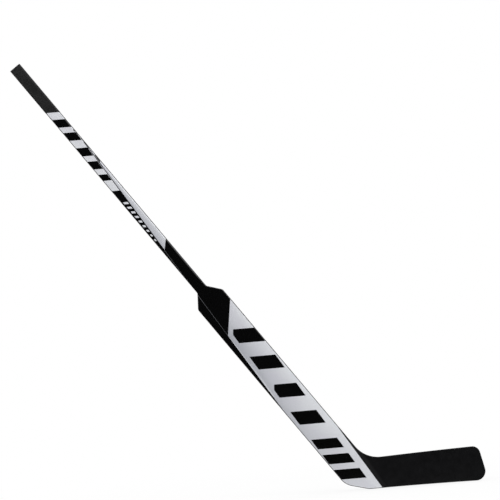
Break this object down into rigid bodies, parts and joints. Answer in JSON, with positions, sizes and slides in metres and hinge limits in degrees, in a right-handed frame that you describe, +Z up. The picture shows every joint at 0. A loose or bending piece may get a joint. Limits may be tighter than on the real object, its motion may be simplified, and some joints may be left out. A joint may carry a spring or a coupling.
{
  "type": "goaltender hockey stick",
  "caption": "Ice hockey goaltender's stick: slim shaft with a textured grip, wide sloped-shoulder paddle and a tall curved black blade, painted in pearl silver and black.",
  "frame": {"origin": "where the shaft's centre line meets the plane of the sole, at the middle of the paddle's thickness", "axes": "+X along the sole towards the toe of the blade, +Z up from the ice, front face (the hollow side of the blade) towards -Y; the shaft rises towards -X"},
  "size_m": [1.1609, 0.0624, 1.2012],
  "materials": {
    "light_wood": "bare, light poplar or aspen",
    "painted_hardwood": "painted, semi-gloss, faint grain",
    "shaft_paint": "pearl silver and black paint under clear coat",
    "paddle_paint": "pearl silver and black paint under clear coat",
    "blade_paint": "black paint over woven laminate, semi-gloss",
    "blade_hardwood": "black paint, semi-gloss",
    "grip_coat": "matte, fine raised texture",
    "rigid_foam": "bare closed-cell foam",
    "rib_laminate": "fibre laminate, bare"
  },
  "bodies": {
    "root": {"shaft_core_ply": "light_wood", "shaft_heel_side_ply": "painted_hardwood", "shaft_toe_side_ply": "painted_hardwood", "shaft_front_laminate": "shaft_paint", "shaft_back_laminate": "shaft_paint", "grip_sleeve": "grip_coat", "paddle_heel_side_shoulder": "painted_hardwood", "paddle_toe_side_shoulder": "painted_hardwood", "paddle_heel_side_core": "rigid_foam", "paddle_toe_side_core": "rigid_foam", "paddle_heel_side_edge_strip": "painted_hardwood", "paddle_toe_side_edge_strip": "painted_hardwood", "paddle_front_laminate": "paddle_paint", "paddle_back_laminate": "paddle_paint", "heel_block": "painted_hardwood", "blade_rib": "rib_laminate", "blade_lower_core": "rigid_foam", "blade_upper_core": "rigid_foam", "blade_runner": "blade_hardwood", "blade_top_strip": "blade_hardwood", "blade_toe_band": "blade_hardwood", "blade_front_laminate": "blade_paint", "blade_back_laminate": "blade_paint"}
  },
  "joints": []
}
